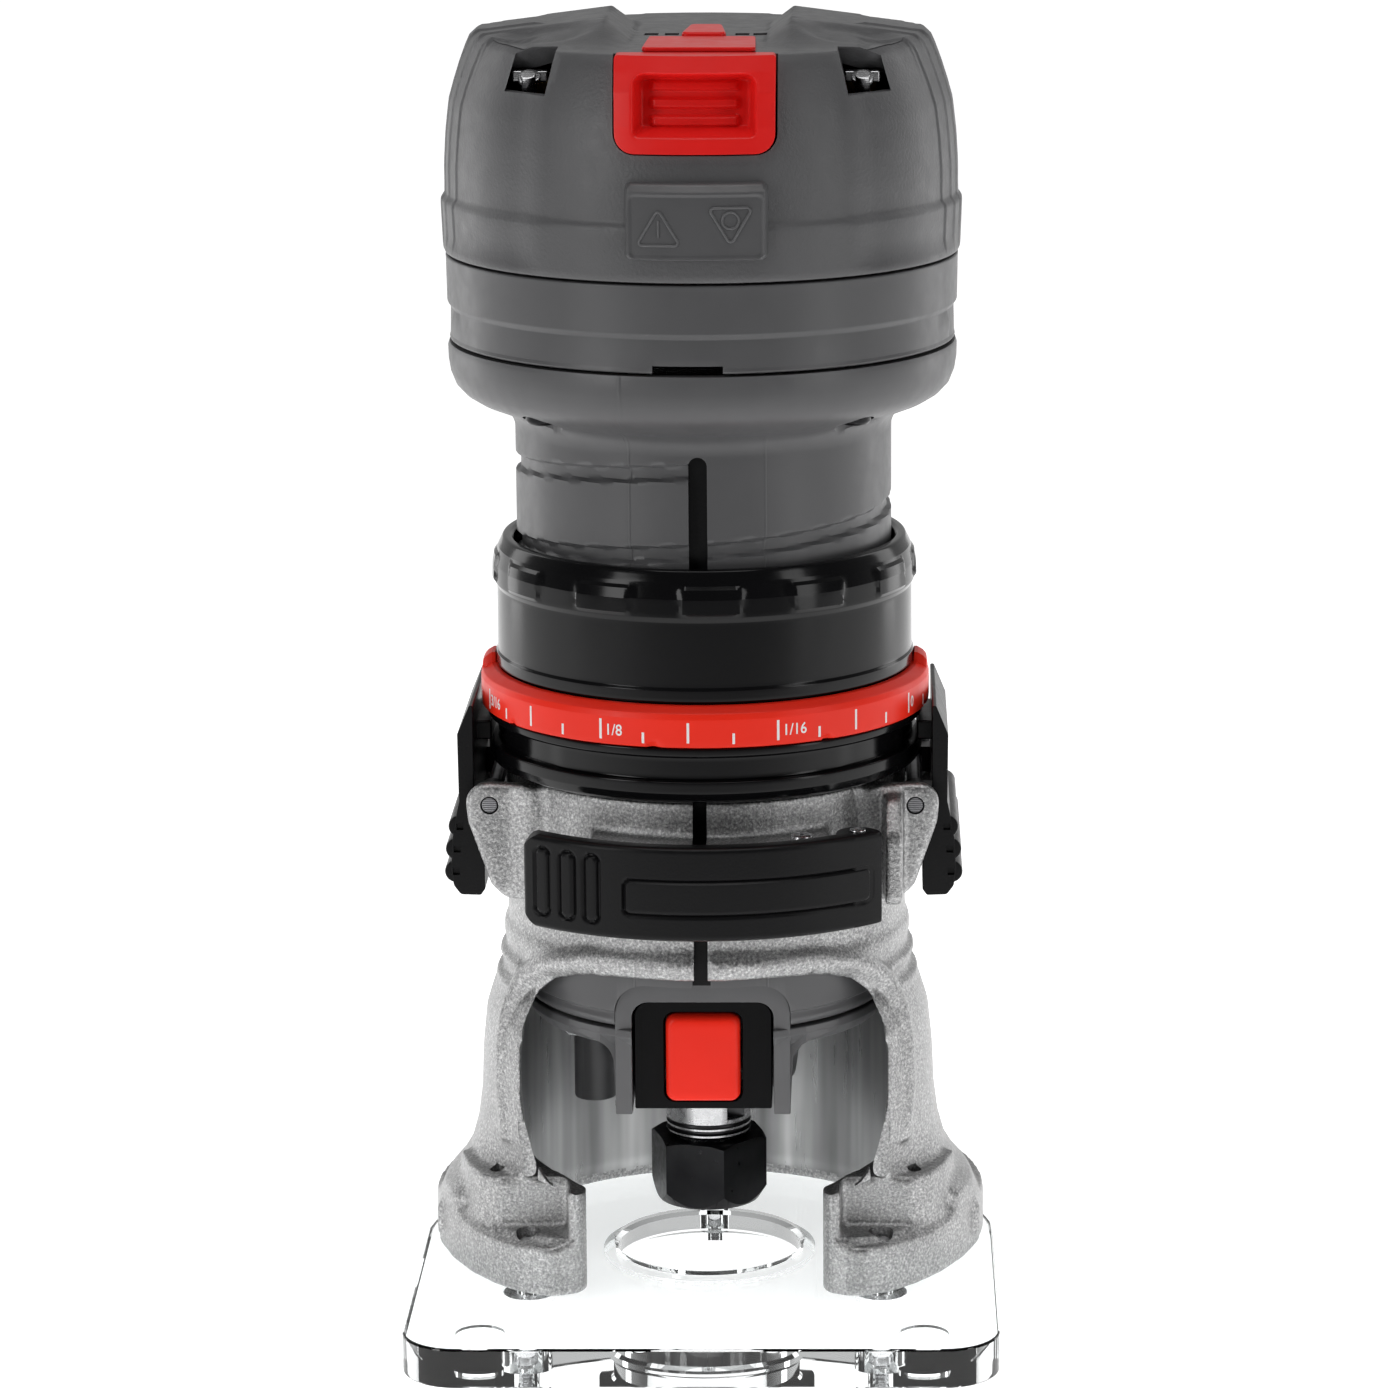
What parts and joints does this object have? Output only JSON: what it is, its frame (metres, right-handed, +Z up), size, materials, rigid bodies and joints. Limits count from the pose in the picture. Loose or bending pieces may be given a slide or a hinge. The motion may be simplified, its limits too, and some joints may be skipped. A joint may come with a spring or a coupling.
{
  "type": "compact fixed-base router",
  "caption": "Compact electric router: round grey motor clamped in a cast aluminium base on a clear square sub-base, with depth dial, clamp lever, release latches, slide switch and spindle lock.",
  "frame": {"origin": "centre of the sub-base's underside, on the tool axis", "axes": "+Z up along the spindle, +X to the operator's right, -Y towards the front with the switch and the lock button"},
  "size_m": [0.094, 0.104, 0.2085],
  "materials": {
    "clear_plate": "clear polished acrylic",
    "casting": "sand-textured bare casting",
    "black_gloss": "black moulded plastic",
    "dial_ring": "orange-red with white graduations",
    "housing": "dark grey fine-grain moulding",
    "laminations": "stacked electrical steel",
    "copper": "enamelled copper",
    "bright_steel": "bright machined steel",
    "brass": "stamped brass",
    "carbon": "carbon brush",
    "rubber": "black rubber",
    "red_plastic": "red satin plastic",
    "black_oxide": "black-oxide steel"
  },
  "bodies": {
    "base": {"sub_base_plate": "clear_plate", "base_casting": "casting", "sub_base_screw_left": "bright_steel", "sub_base_screw_right": "bright_steel", "sub_base_screw_rear": "bright_steel", "tie_bolt": "bright_steel", "tie_nut": "bright_steel", "lever_pivot_pin": "bright_steel", "latch_pin_left": "bright_steel", "latch_pin_right": "bright_steel", "latch_spring_left": "bright_steel", "latch_spring_right": "bright_steel", "motor_key_pin": "bright_steel"},
    "clamp_lever": {"clamp_lever": "black_gloss"},
    "release_latch_left": {"release_latch_left": "black_gloss"},
    "release_latch_right": {"release_latch_right": "black_gloss"},
    "depth_collar": {"depth_collar": "black_gloss"},
    "dial_ring": {"dial_ring": "dial_ring"},
    "motor": {"motor_barrel": "housing", "motor_band": "housing", "top_cap": "housing", "nose_housing": "housing", "lock_bezel": "black_gloss", "stator_core": "laminations", "stator_winding_top": "copper", "stator_winding_bottom": "copper", "upper_bearing": "bright_steel", "lower_bearing": "bright_steel", "bearing_bracket": "housing", "brush_holder_left": "brass", "brush_holder_right": "brass", "carbon_brush_left": "carbon", "carbon_brush_right": "carbon", "brush_spring_left": "bright_steel", "brush_spring_right": "bright_steel", "switch_module": "black_gloss", "cord_gland": "rubber", "cap_screw_1": "bright_steel", "cap_screw_2": "bright_steel", "cap_screw_3": "bright_steel", "cap_screw_4": "bright_steel", "nose_screw_left": "bright_steel", "nose_screw_right": "bright_steel", "top_badge": "red_plastic"},
    "switch_slider": {"switch_slider": "red_plastic"},
    "lock_button": {"lock_button": "red_plastic", "lock_pin": "bright_steel", "lock_spring": "bright_steel"},
    "spindle": {"spindle_shaft": "bright_steel", "armature_core": "laminations", "commutator": "copper", "cooling_fan": "black_gloss", "collet": "bright_steel"},
    "collet_nut": {"collet_nut": "black_oxide"}
  },
  "joints": [
    {"name": "motor_slide", "type": "slide", "parent": "base", "child": "motor", "axis": [0, 0, 1], "range_m": [-0.019, 0.01]},
    {"name": "depth_turn", "type": "hinge", "parent": "base", "child": "depth_collar", "pos_m": [0, 0, 0.108], "axis": [0, 0, 1], "range_deg": [-290, 545]},
    {"name": "dial_zero", "type": "hinge", "parent": "depth_collar", "child": "dial_ring", "pos_m": [0, 0, 0.1018], "axis": [0, 0, 1], "continuous": true},
    {"name": "clamp_swing", "type": "hinge", "parent": "base", "child": "clamp_lever", "pos_m": [0.0246, -0.0308, 0.077], "axis": [0, 0, 1], "range_deg": [0, 100]},
    {"name": "latch_left_squeeze", "type": "hinge", "parent": "base", "child": "release_latch_left", "pos_m": [-0.0337, 0, 0.0854], "axis": [0, -1, 0], "range_deg": [0, 8], "stiffness_Nm_per_rad": 1, "springref_deg": -8.59, "deforming": ["latch_spring_left"]},
    {"name": "latch_right_squeeze", "type": "hinge", "parent": "base", "child": "release_latch_right", "pos_m": [0.0337, 0, 0.0854], "axis": [0, 1, 0], "range_deg": [0, 8], "stiffness_Nm_per_rad": 1, "springref_deg": -8.59, "deforming": ["latch_spring_right"]},
    {"name": "switch_travel", "type": "slide", "parent": "motor", "child": "switch_slider", "axis": [0, 0, 1], "range_m": [0, 0.003]},
    {"name": "lock_press", "type": "slide", "parent": "motor", "child": "lock_button", "axis": [0, 1, 0], "range_m": [0, 0.003], "stiffness_N_per_m": 700, "springref_m": -0.001, "deforming": ["lock_spring"]},
    {"name": "spindle_spin", "type": "hinge", "parent": "motor", "child": "spindle", "pos_m": [0, 0, 0.0475], "axis": [0, 0, 1], "continuous": true},
    {"name": "nut_turn", "type": "hinge", "parent": "spindle", "child": "collet_nut", "pos_m": [0, 0, 0.0198], "axis": [0, 0, 1], "continuous": true}
  ],
  "couplings": [
    {"joint": "depth_turn", "follows": "motor_slide", "rad_per_m": -494.74}
  ]
}
